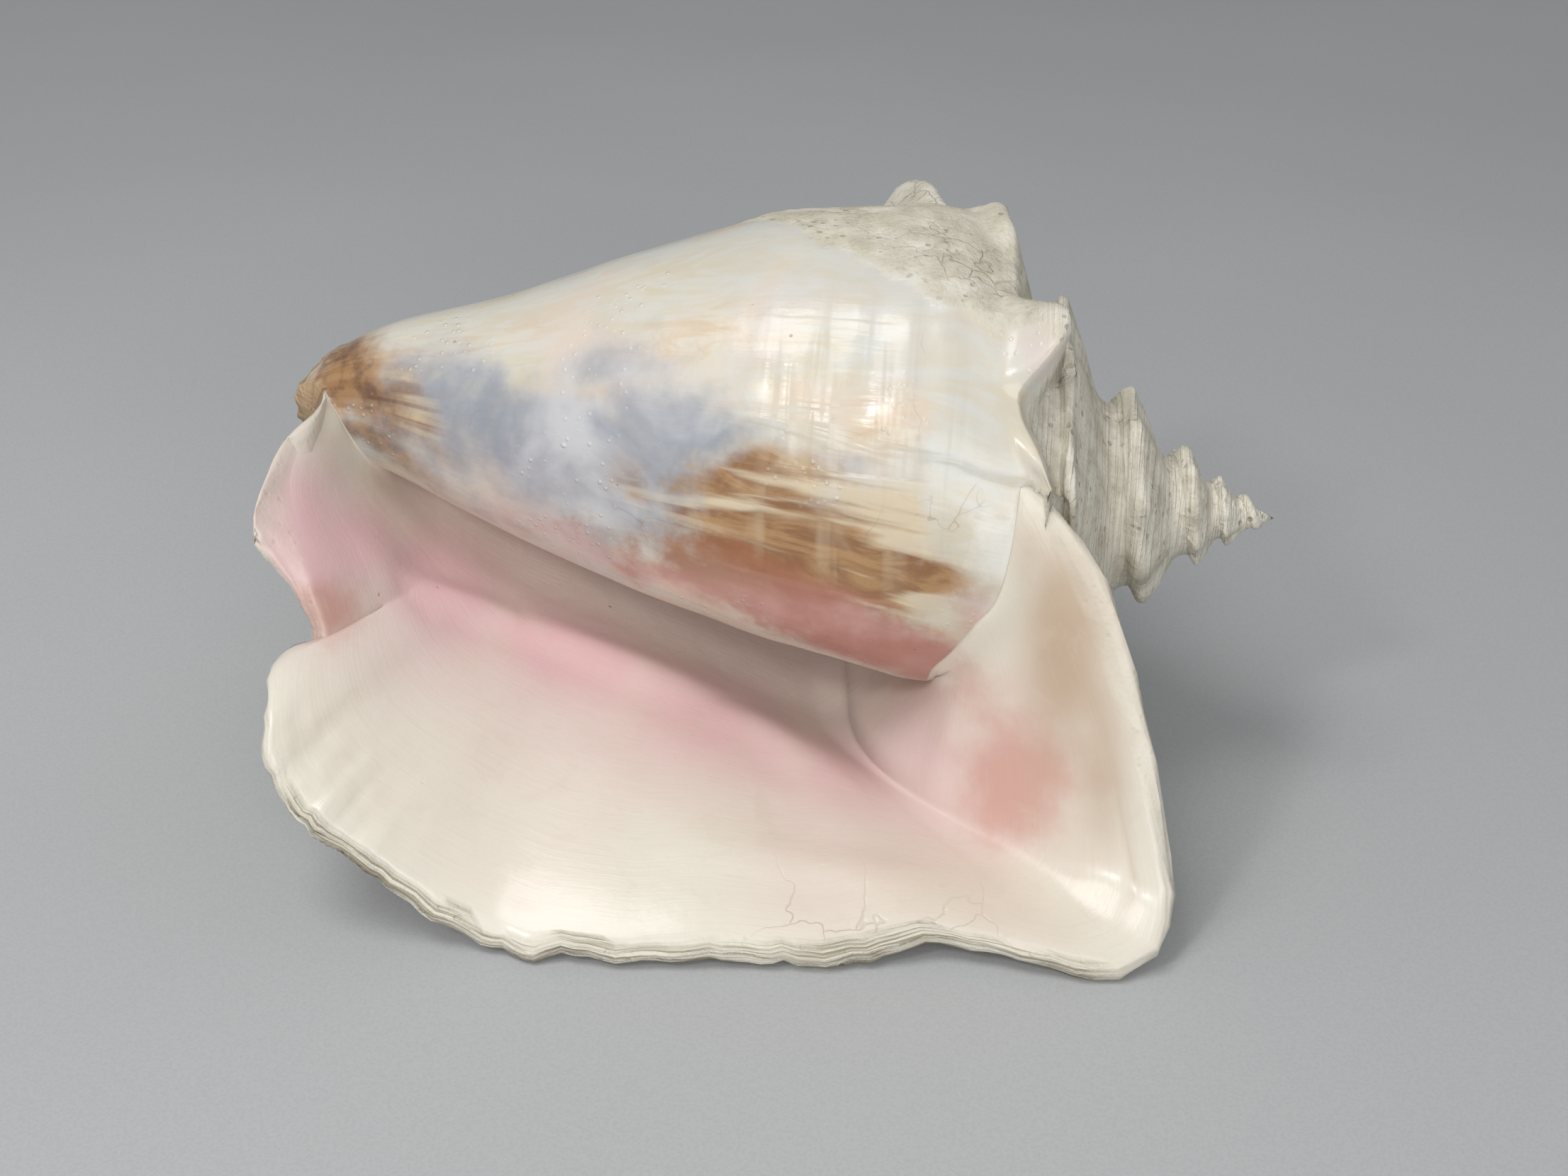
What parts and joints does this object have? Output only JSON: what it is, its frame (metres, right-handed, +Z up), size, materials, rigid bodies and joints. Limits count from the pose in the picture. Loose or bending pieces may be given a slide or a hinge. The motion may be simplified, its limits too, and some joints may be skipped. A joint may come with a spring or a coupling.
{
  "type": "conch shell",
  "caption": "Large conch shell lying on its flared lip, with a pointed stepped spire, blunt shoulder knobs and a glossy pink and cream mouth.",
  "frame": {"origin": "middle of the shell's footprint, on the surface that it lies on", "axes": "+X along the shell's own axis towards the apex of the spire, -Y the way the mouth faces, +Z up"},
  "size_m": [0.2272, 0.1772, 0.1295],
  "materials": {
    "shell": "satin"
  },
  "bodies": {
    "root": {"shell": "shell"}
  },
  "joints": []
}
